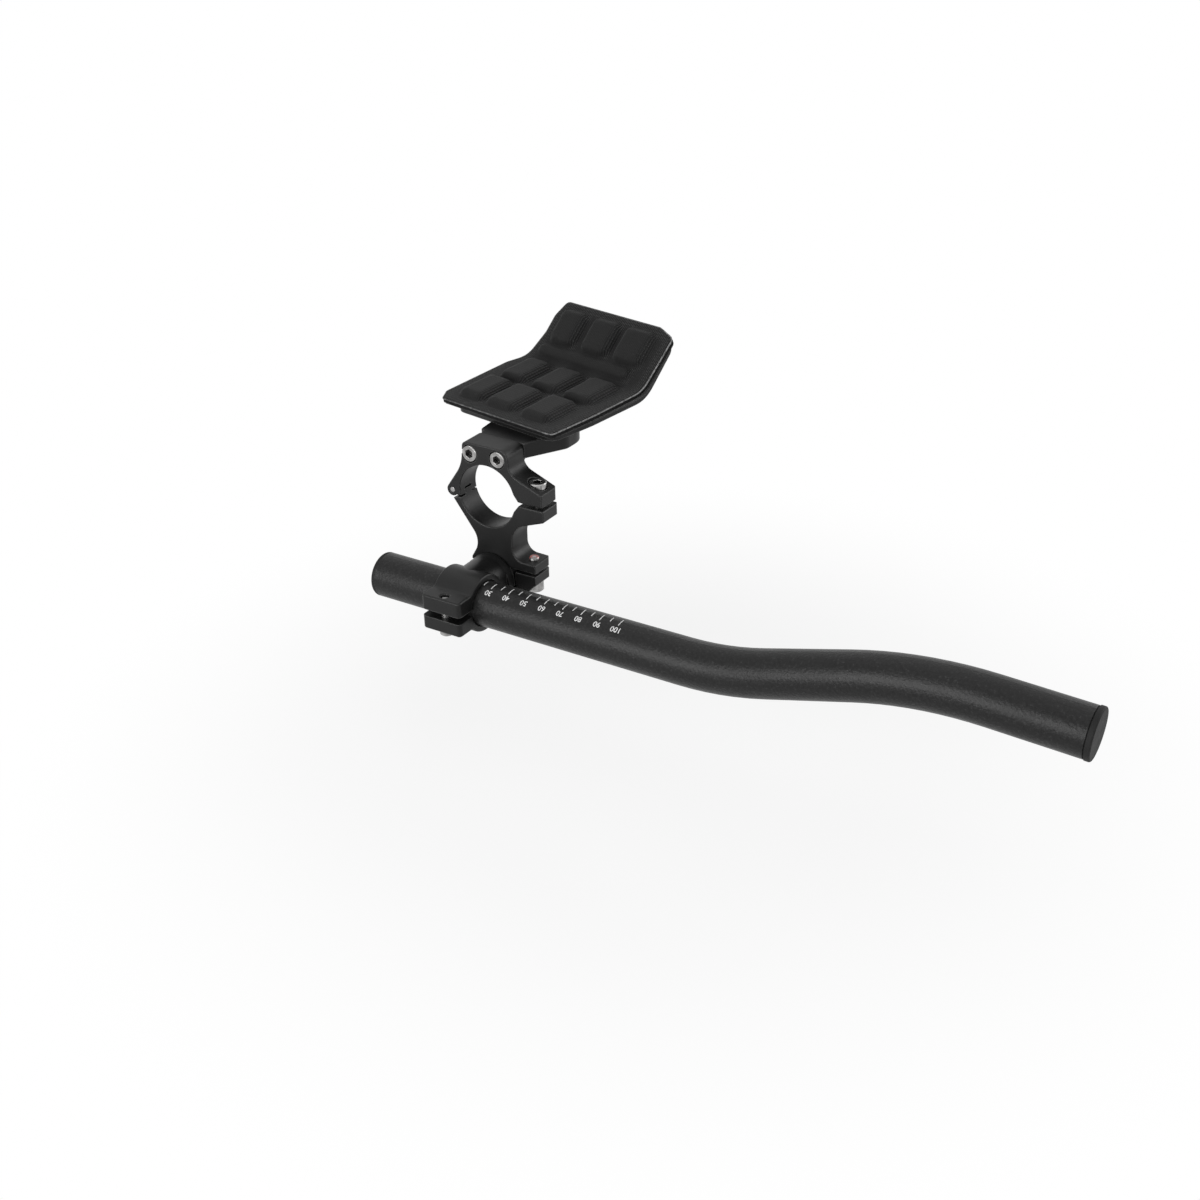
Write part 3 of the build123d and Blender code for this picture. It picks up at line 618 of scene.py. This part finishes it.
def inflate(points, faces, held):
    # the cover is blown up a little over each block while channels and border stay put
    scale = padSet["simScale"]
    mesh = bpy.data.meshes.new("coverTrial")
    mesh.from_pydata([p * scale for p in points], [], faces)
    trial = bpy.data.objects.new("coverTrial", mesh)
    scene = bpy.context.scene
    scene.collection.objects.link(trial)
    group = trial.vertex_groups.new(name="held")
    group.add(held, 1.0, "REPLACE")
    cloth = trial.modifiers.new("cover", "CLOTH")
    cloth.settings.quality = padSet["quality"]
    cloth.settings.use_pressure = True
    cloth.settings.uniform_pressure_force = padSet["pressure"]
    cloth.settings.effector_weights.gravity = 0.0
    cloth.settings.vertex_group_mass = "held"
    cloth.collision_settings.use_collision = False
    for step in range(1, padSet["frames"] + 1):
        scene.frame_set(step)
    shaped = trial.evaluated_get(bpy.context.evaluated_depsgraph_get()).to_mesh()
    moved = []
    for point, vertex in zip(points, shaped.vertices):
        shift = vertex.co / scale - point
        if shift.length > padSet["cap"] * mm:
            shift = shift.normalized() * padSet["cap"] * mm
        moved.append(point + shift)
    scene.frame_set(1)
    bpy.data.objects.remove(trial)
    bpy.data.meshes.remove(mesh)
    return moved


def makePadFabric():
    material, tree, shader = startMaterial("ribbedCover", {
        "Specular IOR Level": 0.20, "Sheen Weight": 0.05, "Sheen Roughness": 0.5,
    })
    coords = addNode(tree, "ShaderNodeTexCoord")
    ribs = addNode(tree, "ShaderNodeTexWave", {
        "Scale": padSet["bandScale"] / padSet["ribPitch"],
        "Distortion": 0.6, "Detail": 1.0, "Detail Scale": 3.0,
    }, wave_type="BANDS", bands_direction="X", wave_profile="SIN")
    courses = addNode(tree, "ShaderNodeTexWave", {
        "Scale": padSet["bandScale"] / padSet["coursePitch"],
        "Distortion": 1.2, "Detail": 1.0, "Detail Scale": 4.0,
    }, wave_type="BANDS", bands_direction="Y", wave_profile="SIN")
    knit = noiseOn(tree, coords, "UV", 260, 3, 0.6, (1.0, 0.45, 1.0))
    cloud = noiseOn(tree, coords, "UV", 9, 3)
    wire(tree, coords, "UV", ribs, "Vector")
    stretched = addNode(tree, "ShaderNodeAttribute", attribute_name="stretch")
    shown = addNode(tree, "ShaderNodeMath", operation="MULTIPLY")
    loops = spread(tree, courses, "Fac", 0.55, 1.0)
    beaded = addNode(tree, "ShaderNodeMath", operation="MULTIPLY")
    wire(tree, coords, "UV", courses, "Vector")
    wire(tree, ribs, "Fac", beaded, 0)
    wire(tree, loops, 0, beaded, 1)
    wire(tree, beaded, 0, shown, 0)
    wire(tree, stretched, "Fac", shown, 1)
    # the ribs' ridges are painted lighter and their grooves darker, a painted shade that grows where the
    # ribs open up
    tone = colourRamp(tree, shown, "Value", [(0.0, 0.0095), (0.5, 0.0135), (1.0, 0.036)])
    # painted shade darkens the channels between the blocks
    depth = addNode(tree, "ShaderNodeAmbientOcclusion", {"Distance": 0.006}, samples=12, only_local=True)
    shade = colourRamp(tree, depth, "AO", [(0.55, 0.08), (0.98, 1.0)])
    patch = colourRamp(tree, cloud, "Fac", [(0.3, 0.85), (0.7, 1.0)])
    worn = addNode(tree, "ShaderNodeMixRGB", {"Fac": 1.0}, blend_type="MULTIPLY")
    mix = addNode(tree, "ShaderNodeMixRGB", {"Fac": 1.0}, blend_type="MULTIPLY")
    wire(tree, tone, "Color", worn, "Color1")
    wire(tree, patch, "Color", worn, "Color2")
    wire(tree, worn, "Color", mix, "Color1")
    wire(tree, shade, "Color", mix, "Color2")
    wire(tree, mix, "Color", shader, "Base Color")
    rough = spread(tree, knit, "Fac", 0.72, 0.9)
    wire(tree, rough, 0, shader, "Roughness")
    yarn = bumpFrom(tree, knit, "Fac", 0.35, 0.00012)
    rib = bumpFrom(tree, shown, "Value", 0.9, 0.0006, yarn)
    wire(tree, rib, "Normal", shader, "Normal")
    return material


def makeFoam():
    material, tree, shader = startMaterial("foamSide", {"Roughness": 0.9, "Specular IOR Level": 0.12})
    coords = addNode(tree, "ShaderNodeTexCoord")
    cells = noiseOn(tree, coords, "Object", 900, 4, 0.7)
    tone = colourRamp(tree, cells, "Fac", [(0.35, 0.003), (0.6, 0.011), (0.75, 0.026)])
    wire(tree, tone, "Color", shader, "Base Color")
    bump = bumpFrom(tree, cells, "Fac", 0.6, 0.0003)
    wire(tree, bump, "Normal", shader, "Normal")
    return material


def coverStretch(u, s, edge):
    # the ribs open up on the slopes that face forward and along the edge, and their painted groove shade
    # is strongest there too
    tight = 1 - smooth((edge - padSet["ribReach"]) / padSet["ribReach"])
    past, fading, beyond = padSet["ribSlope"]
    for _, u1, s0, s1, _ in padBlocks:
        if s0 - beyond < s < s1 + beyond:
            tight = max(tight, 1 - smooth(abs(u - u1 - past) / fading))
    return padSet["ribFaint"] + (1 - padSet["ribFaint"]) * tight


def makePad():
    outline = roundOutline(padCorners)
    sLow = min(p.y for p in outline)
    sHigh = max(p.y for p in outline)
    spare = len(padSet["edgeRows"])
    inset = padSet["rowInset"]
    rows = edgeSpaced(sLow, sHigh, int((sHigh - sLow) / padSet["cell"]) - spare)
    across = int(padSet["width"] / padSet["cell"]) - spare
    flat = []
    for s in rows:
        low, high = spanAt(outline, min(max(s, sLow + inset), sHigh - inset))
        flat.append([(u, s) for u in edgeSpaced(low, high, across)])
    wide = len(flat[0])
    innerU, innerS, _ = padCorners[1]
    top, bottom, laid, held, stretch = [], [], [], [], []
    for line in flat:
        for u, s in line:
            edge = edgeDistance(outline, u, s)
            rim = 1 - min(edge / padSet["edgeRound"], 1.0)
            rise = blockHeight(u, s)
            drop = padSet["edgeDrop"] * (1 - math.sqrt(max(1 - rim * rim, 0.0)))
            level = padSet["topLevel"] + rise - drop
            shear = padSet["innerSlope"] * (u - innerU) * max(0.0, 1 - (s - innerS) / padSet["slopeReach"])
            if rise < padSet["heldBelow"]:
                held.append(len(top))
            top.append(restPoint(u, s + shear, level))
            bottom.append(restPoint(u, s + shear, padSet["lowLevel"]))
            laid.append((u / padSet["laidUnit"], s / padSet["laidUnit"]))
            stretch.append(coverStretch(u, s, edge))
    faces = []
    for j in range(len(flat) - 1):
        for i in range(wide - 1):
            a = j * wide + i
            faces.append((a, a + 1, a + wide + 1, a + wide))
    top = inflate(top, faces, held)
    count = len(top)
    ring = list(range(wide)) + [j * wide + wide - 1 for j in range(1, len(flat))]
    ring += [(len(flat) - 1) * wide + i for i in range(wide - 2, -1, -1)]
    ring += [j * wide for j in range(len(flat) - 2, 0, -1)]
    walls = [(count + a, count + b, b, a) for a, b in zip(ring, ring[1:] + ring[:1])]
    under = [tuple(count + k for k in reversed(face)) for face in faces]
    mesh = bpy.data.meshes.new("padCover")
    mesh.from_pydata(top + bottom, [], faces + under + walls)
    layer = mesh.uv_layers.new(name="UVMap")
    for loop in mesh.loops:
        layer.data[loop.index].uv = laid[loop.vertex_index % count]
    tightness = mesh.attributes.new("stretch", "FLOAT", "POINT")
    tightness.data.foreach_set("value", stretch + stretch)
    mesh.shade_smooth()
    mesh.materials.append(makePadFabric())
    mesh.materials.append(makeFoam())
    for polygon in mesh.polygons[len(faces):]:
        polygon.material_index = 1
    pad = bpy.data.objects.new("padCover", mesh)
    bpy.context.scene.collection.objects.link(pad)
    soft = pad.modifiers.new("soft", "SUBSURF")
    soft.levels = 1
    soft.render_levels = 1
    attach(pad, "bracket")
    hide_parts("armrest_pad")
    return pad, [top[k] for k in ring]


pad, padRim = makePad()
print("pad: %d faces, rim of %d points" % (len(pad.data.polygons), len(padRim)))


# geometry node trees

def startTree(name, inputs):
    tree = bpy.data.node_groups.new(name, "GeometryNodeTree")
    tree.interface.new_socket("Geometry", in_out="INPUT", socket_type="NodeSocketGeometry")
    tree.interface.new_socket("Geometry", in_out="OUTPUT", socket_type="NodeSocketGeometry")
    for label, kind, value in inputs:
        socket = tree.interface.new_socket(label, in_out="INPUT", socket_type=kind)
        if value is not None:
            socket.default_value = value
    source = addNode(tree, "NodeGroupInput")
    output = addNode(tree, "NodeGroupOutput")
    return tree, source, output


def endTree(tree, source, output, geometry, outlet):
    real = addNode(tree, "GeometryNodeRealizeInstances")
    paint = addNode(tree, "GeometryNodeSetMaterial")
    wire(tree, geometry, outlet, real, 0)
    wire(tree, real, 0, paint, "Geometry")
    wire(tree, source, "Material", paint, "Material")
    wire(tree, paint, 0, output, 0)


def growPiece(name, tree, values, start=None):
    # runs the tree once and keeps the result as a plain mesh
    piece = bpy.data.objects.new(name, start or bpy.data.meshes.new(name))
    bpy.context.scene.collection.objects.link(piece)
    grower = piece.modifiers.new("grow", "NODES")
    grower.node_group = tree
    for item in tree.interface.items_tree:
        if item.item_type == "SOCKET" and item.in_out == "INPUT" and item.name in values:
            grower[item.identifier] = values[item.name]
    graph = bpy.context.evaluated_depsgraph_get()
    grown = bpy.data.meshes.new_from_object(piece.evaluated_get(graph), depsgraph=graph)
    piece.modifiers.remove(grower)
    piece.data = grown
    grown.name = name
    return piece


# pale cut edge of the cover

edgeSet = {"Bead radius": 0.00036, "Step": 0.0008, "Sides": 8}
rollSet = {"to": 0.019, "from": 0.024, "tone": 0.66}    # bare in front, rolled in behind, metres


def makeCutEdge():
    material, tree, shader = startMaterial("cutEdge", {"Roughness": 0.75, "Specular IOR Level": 0.3})
    coords = addNode(tree, "ShaderNodeTexCoord")
    frayed = noiseOn(tree, coords, "Object", 700, 3, 0.7)
    ahead = addNode(tree, "ShaderNodeVectorMath", operation="DOT_PRODUCT")
    ahead.inputs[1].default_value = restAxes()[1]
    bare = addNode(tree, "ShaderNodeMapRange", {
        "From Min": rollSet["to"], "From Max": rollSet["from"], "To Min": rollSet["tone"], "To Max": 1.0,
    })
    shown = addNode(tree, "ShaderNodeMath", operation="MULTIPLY")
    wire(tree, coords, "Object", ahead, 0)
    wire(tree, ahead, "Value", bare, "Value")
    wire(tree, frayed, "Fac", shown, 0)
    wire(tree, bare, 0, shown, 1)
    tone = colourRamp(tree, shown, 0, [(0.20, 0.02), (0.34, 0.075), (0.5, 0.20), (0.7, 0.28)])
    wire(tree, tone, "Color", shader, "Base Color")
    bump = bumpFrom(tree, frayed, "Fac", 0.5, 0.0001)
    wire(tree, bump, "Normal", shader, "Normal")
    return material


def edgeTree():
    tree, source, output = startTree("cutEdgeTree", [
        ("Bead radius", "NodeSocketFloat", 0.0003), ("Step", "NodeSocketFloat", 0.001),
        ("Sides", "NodeSocketInt", 8), ("Material", "NodeSocketMaterial", None),
    ])
    line = addNode(tree, "GeometryNodeMeshToCurve")
    even = addNode(tree, "GeometryNodeResampleCurve", mode="LENGTH")
    circle = addNode(tree, "GeometryNodeCurvePrimitiveCircle")
    bead = addNode(tree, "GeometryNodeCurveToMesh")
    wire(tree, source, "Geometry", line, 0)
    wire(tree, line, 0, even, "Curve")
    wire(tree, source, "Step", even, "Length")
    wire(tree, source, "Sides", circle, "Resolution")
    wire(tree, source, "Bead radius", circle, "Radius")
    wire(tree, even, 0, bead, "Curve")
    wire(tree, circle, 0, bead, "Profile Curve")
    endTree(tree, source, output, bead, 0)
    return tree


rimMesh = bpy.data.meshes.new("padRim")
rimMesh.from_pydata(padRim, [(k, (k + 1) % len(padRim)) for k in range(len(padRim))], [])
cutEdge = growPiece("padCutEdge", edgeTree(), {**edgeSet, "Material": makeCutEdge()}, rimMesh)
cutEdge.data.shade_smooth()
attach(cutEdge, "bracket")
print("cut edge: %d faces" % len(cutEdge.data.polygons))


# length scale on the tube

scaleSet = {
    "tubeRadius": 11.1,         # mm
    "tubeY": -28.53,
    "tubeZ": -44.34,
    "zeroX": -11.74,
    "firstNumber": 30,
    "numberGap": 10,
    "numberCount": 8,
    "digitHeight": 2.7,
    "capShare": 0.69,           # height of the built-in face's digits for a size of 1
    "digitWidth": 0.94,         # narrowing of the built-in face
    "digitBold": 0.02,
    "digitAngle": 113.6,        # foot of the numbers, degrees round the tube
    "digitRows": 8,             # cuts that let the digits follow the round
    "digitWeld": 0.0005,
    "paint": 0.03,
    "sunk": 0.05,
}

firstX = scaleSet["zeroX"] + scaleSet["firstNumber"]
tickGap = float(scaleSet["numberGap"])
tickRow = {"Gap": tickGap, "Count": scaleSet["numberCount"], "Width": 0.42}
longTicks = {**tickRow, "First": firstX, "Low angle": 106.9, "Length": 4.8}
shortTicks = {**tickRow, "First": firstX - tickGap / 2, "Low angle": 101.0, "Length": 3.5}


def makeScalePaint():
    material, tree, shader = startMaterial("scalePaint", {"Roughness": 0.6, "Specular IOR Level": 0.3})
    coords = addNode(tree, "ShaderNodeTexCoord")
    worn = noiseOn(tree, coords, "Object", 1300, 3, 0.6)
    tone = colourRamp(tree, worn, "Fac", [(0.25, 0.45), (0.5, 0.76), (0.75, 0.84)])
    wire(tree, tone, "Color", shader, "Base Color")
    bump = bumpFrom(tree, worn, "Fac", 0.2, 0.00005)
    wire(tree, bump, "Normal", shader, "Normal")
    return material


def tickTree():
    sizes = ["First", "Gap", "Low angle", "Length", "Width"]
    sizes += ["Tube radius", "Tube Y", "Tube Z", "Paint", "Sunk"]
    tree, source, output = startTree("tickTree", [(label, "NodeSocketFloat", 1.0) for label in sizes] + [
        ("Count", "NodeSocketInt", 8), ("Material", "NodeSocketMaterial", None),
    ])

    def maths(operation, a, b):
        node = addNode(tree, "ShaderNodeMath", operation=operation)
        for index, value in enumerate((a, b)):
            if isinstance(value, tuple):
                tree.links.new(value[0].outputs[value[1]], node.inputs[index])
            elif value is not None:
                node.inputs[index].default_value = value
        return node

    start = addNode(tree, "ShaderNodeCombineXYZ")
    step = addNode(tree, "ShaderNodeCombineXYZ")
    line = addNode(tree, "GeometryNodeMeshLine")
    grid = addNode(tree, "GeometryNodeMeshGrid", {"Vertices X": 2, "Vertices Y": 12})
    onPoints = addNode(tree, "GeometryNodeInstanceOnPoints")
    real = addNode(tree, "GeometryNodeRealizeInstances")
    wire(tree, source, "First", start, "X")
    wire(tree, source, "Gap", step, "X")
    wire(tree, source, "Count", line, "Count")
    wire(tree, start, 0, line, "Start Location")
    wire(tree, step, 0, line, "Offset")
    wire(tree, source, "Width", grid, "Size X")
    wire(tree, source, "Length", grid, "Size Y")
    wire(tree, line, 0, onPoints, "Points")
    wire(tree, grid, 0, onPoints, "Instance")
    wire(tree, onPoints, 0, real, 0)
    # flat strips go round the tube, their low end at the low angle
    place = addNode(tree, "GeometryNodeInputPosition")
    split = addNode(tree, "ShaderNodeSeparateXYZ")
    wire(tree, place, 0, split, 0)
    half = maths("MULTIPLY", (source, "Length"), 0.5)
    along = maths("ADD", (split, "Y"), (half, 0))
    turn = maths("DIVIDE", (along, 0), (source, "Tube radius"))
    low = maths("RADIANS", (source, "Low angle"), None)
    angle = maths("SUBTRACT", (low, 0), (turn, 0))
    reach = maths("SUBTRACT", (source, "Tube radius"), (source, "Sunk"))
    sideways = maths("MULTIPLY", (reach, 0), (maths("COSINE", (angle, 0), None), 0))
    upward = maths("MULTIPLY", (reach, 0), (maths("SINE", (angle, 0), None), 0))
    y = maths("ADD", (sideways, 0), (source, "Tube Y"))
    z = maths("ADD", (upward, 0), (source, "Tube Z"))
    wrapped = addNode(tree, "ShaderNodeCombineXYZ")
    wrap = addNode(tree, "GeometryNodeSetPosition")
    wire(tree, split, "X", wrapped, "X")
    wire(tree, y, 0, wrapped, "Y")
    wire(tree, z, 0, wrapped, "Z")
    wire(tree, real, 0, wrap, "Geometry")
    wire(tree, wrapped, 0, wrap, "Position")
    # thickness of the paint, closed underneath
    thick = maths("ADD", (source, "Paint"), (source, "Sunk"))
    raised = addNode(tree, "GeometryNodeExtrudeMesh", {"Individual": False}, mode="FACES")
    under = addNode(tree, "GeometryNodeFlipFaces")
    both = addNode(tree, "GeometryNodeJoinGeometry")
    weld = addNode(tree, "GeometryNodeMergeByDistance", {"Distance": 0.001})
    small = addNode(tree, "GeometryNodeTransform", {"Scale": (mm, mm, mm)})
    wire(tree, wrap, 0, raised, "Mesh")
    wire(tree, thick, 0, raised, "Offset Scale")
    wire(tree, wrap, 0, under, 0)
    wire(tree, raised, 0, both, 0)
    wire(tree, under, 0, both, 0)
    wire(tree, both, 0, weld, 0)
    wire(tree, weld, 0, small, "Geometry")
    endTree(tree, source, output, small, 0)
    return tree


def makeTicks(paint):
    tree = tickTree()
    shared = {
        "Tube radius": scaleSet["tubeRadius"], "Tube Y": scaleSet["tubeY"], "Tube Z": scaleSet["tubeZ"],
        "Paint": scaleSet["paint"], "Sunk": scaleSet["sunk"], "Material": paint,
    }
    for name, ticks in (("scaleLongTicks", longTicks), ("scaleShortTicks", shortTicks)):
        piece = growPiece(name, tree, {**shared, **ticks})
        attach(piece, "extension")


def makeNumbers(paint):
    radius = scaleSet["tubeRadius"]
    mesh = bmesh.new()
    for place in range(scaleSet["numberCount"]):
        number = scaleSet["firstNumber"] + place * scaleSet["numberGap"]
        data = bpy.data.curves.new("scaleNumber", "FONT")
        data.body = str(number)
        data.align_x = "CENTER"
        data.size = scaleSet["digitHeight"] / scaleSet["capShare"]
        data.offset = scaleSet["digitBold"]
        data.extrude = (scaleSet["paint"] + scaleSet["sunk"]) / 2
        data.resolution_u = 4
        text = bpy.data.objects.new("scaleNumber", data)
        bpy.context.scene.collection.objects.link(text)
        graph = bpy.context.evaluated_depsgraph_get()
        shape = bpy.data.meshes.new_from_object(text.evaluated_get(graph), depsgraph=graph)
        bpy.data.objects.remove(text)
        digits = bmesh.new()
        digits.from_mesh(shape)
        bmesh.ops.remove_doubles(digits, verts=digits.verts, dist=scaleSet["digitWeld"])
        for cut in range(1, scaleSet["digitRows"]):
            level = cut * scaleSet["digitHeight"] / scaleSet["digitRows"]
            everything = digits.verts[:] + digits.edges[:] + digits.faces[:]
            bmesh.ops.bisect_plane(digits, geom=everything, plane_co=(0, level, 0), plane_no=(0, 1, 0))
        middle = data.extrude - scaleSet["sunk"]
        for vertex in digits.verts:
            angle = math.radians(scaleSet["digitAngle"]) + vertex.co.y / radius
            reach = radius + vertex.co.z + middle
            x = scaleSet["zeroX"] + number - vertex.co.x * scaleSet["digitWidth"]
            y = scaleSet["tubeY"] + reach * math.cos(angle)
            z = scaleSet["tubeZ"] + reach * math.sin(angle)
            vertex.co = Vector((x, y, z)) * mm
        digits.to_mesh(shape)
        digits.free()
        mesh.from_mesh(shape)
        bpy.data.meshes.remove(shape)
    numbers = bpy.data.meshes.new("scaleNumbers")
    bmesh.ops.recalc_face_normals(mesh, faces=mesh.faces)
    mesh.to_mesh(numbers)
    mesh.free()
    numbers.materials.append(paint)
    piece = bpy.data.objects.new("scaleNumbers", numbers)
    bpy.context.scene.collection.objects.link(piece)
    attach(piece, "extension")


scalePaint = makeScalePaint()
makeTicks(scalePaint)
makeNumbers(scalePaint)
print("scale: %d long and %d short ticks" % (longTicks["Count"], shortTicks["Count"]))


# threads where the bolts show between and beyond their lugs

threadSet = {"Sides": 6, "Ridge": 0.17, "Steps": 36}

threadRuns = [                  # name, bolt, from z, to z, pitch, radius (mm), body
    ("handlebarThread", "handlebar_clamp_bolt", -9.9, -7.15, 0.8, 2.40, "bracket"),
    ("tiltThread", "tilt_clamp_bolt", -30.7, -30.0, 0.8, 2.40, "bracket"),
    ("extensionThread", "extension_clamp_bolt", -46.3, -43.1, 0.7, 1.90, "tilt_head"),
]


def threadTree():
    sizes = ("Turns", "Radius", "Height", "Ridge")
    tree, source, output = startTree("threadTree", [(label, "NodeSocketFloat", 1.0) for label in sizes] + [
        ("Foot", "NodeSocketVector", (0.0, 0.0, 0.0)),
        ("Steps", "NodeSocketInt", 36),
        ("Sides", "NodeSocketInt", 6),
        ("Material", "NodeSocketMaterial", None),
    ])
    spiral = addNode(tree, "GeometryNodeCurveSpiral")
    circle = addNode(tree, "GeometryNodeCurvePrimitiveCircle")
    ridge = addNode(tree, "GeometryNodeCurveToMesh", {"Fill Caps": True})
    small = addNode(tree, "GeometryNodeTransform", {"Scale": (mm, mm, mm)})
    wire(tree, source, "Steps", spiral, "Resolution")
    wire(tree, source, "Turns", spiral, "Rotations")
    wire(tree, source, "Radius", spiral, "Start Radius")
    wire(tree, source, "Radius", spiral, "End Radius")
    wire(tree, source, "Height", spiral, "Height")
    wire(tree, source, "Sides", circle, "Resolution")
    wire(tree, source, "Ridge", circle, "Radius")
    wire(tree, spiral, 0, ridge, "Curve")
    wire(tree, circle, 0, ridge, "Profile Curve")
    wire(tree, ridge, 0, small, "Geometry")
    wire(tree, source, "Foot", small, "Translation")
    endTree(tree, source, output, small, 0)
    return tree


def makeThreads():
    tree = threadTree()
    for name, bolt, low, high, pitch, radius, body in threadRuns:
        first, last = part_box(bolt)
        foot = ((first[0] + last[0]) / 2, (first[1] + last[1]) / 2, low * mm)
        piece = growPiece(name, tree, {
            **threadSet, "Turns": (high - low) / pitch, "Height": high - low, "Radius": radius,
            "Foot": foot, "Material": finishes["stainless"],
        })
        piece.data.shade_smooth()
        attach(piece, body)


makeThreads()
print("threads: %d" % len(threadRuns))
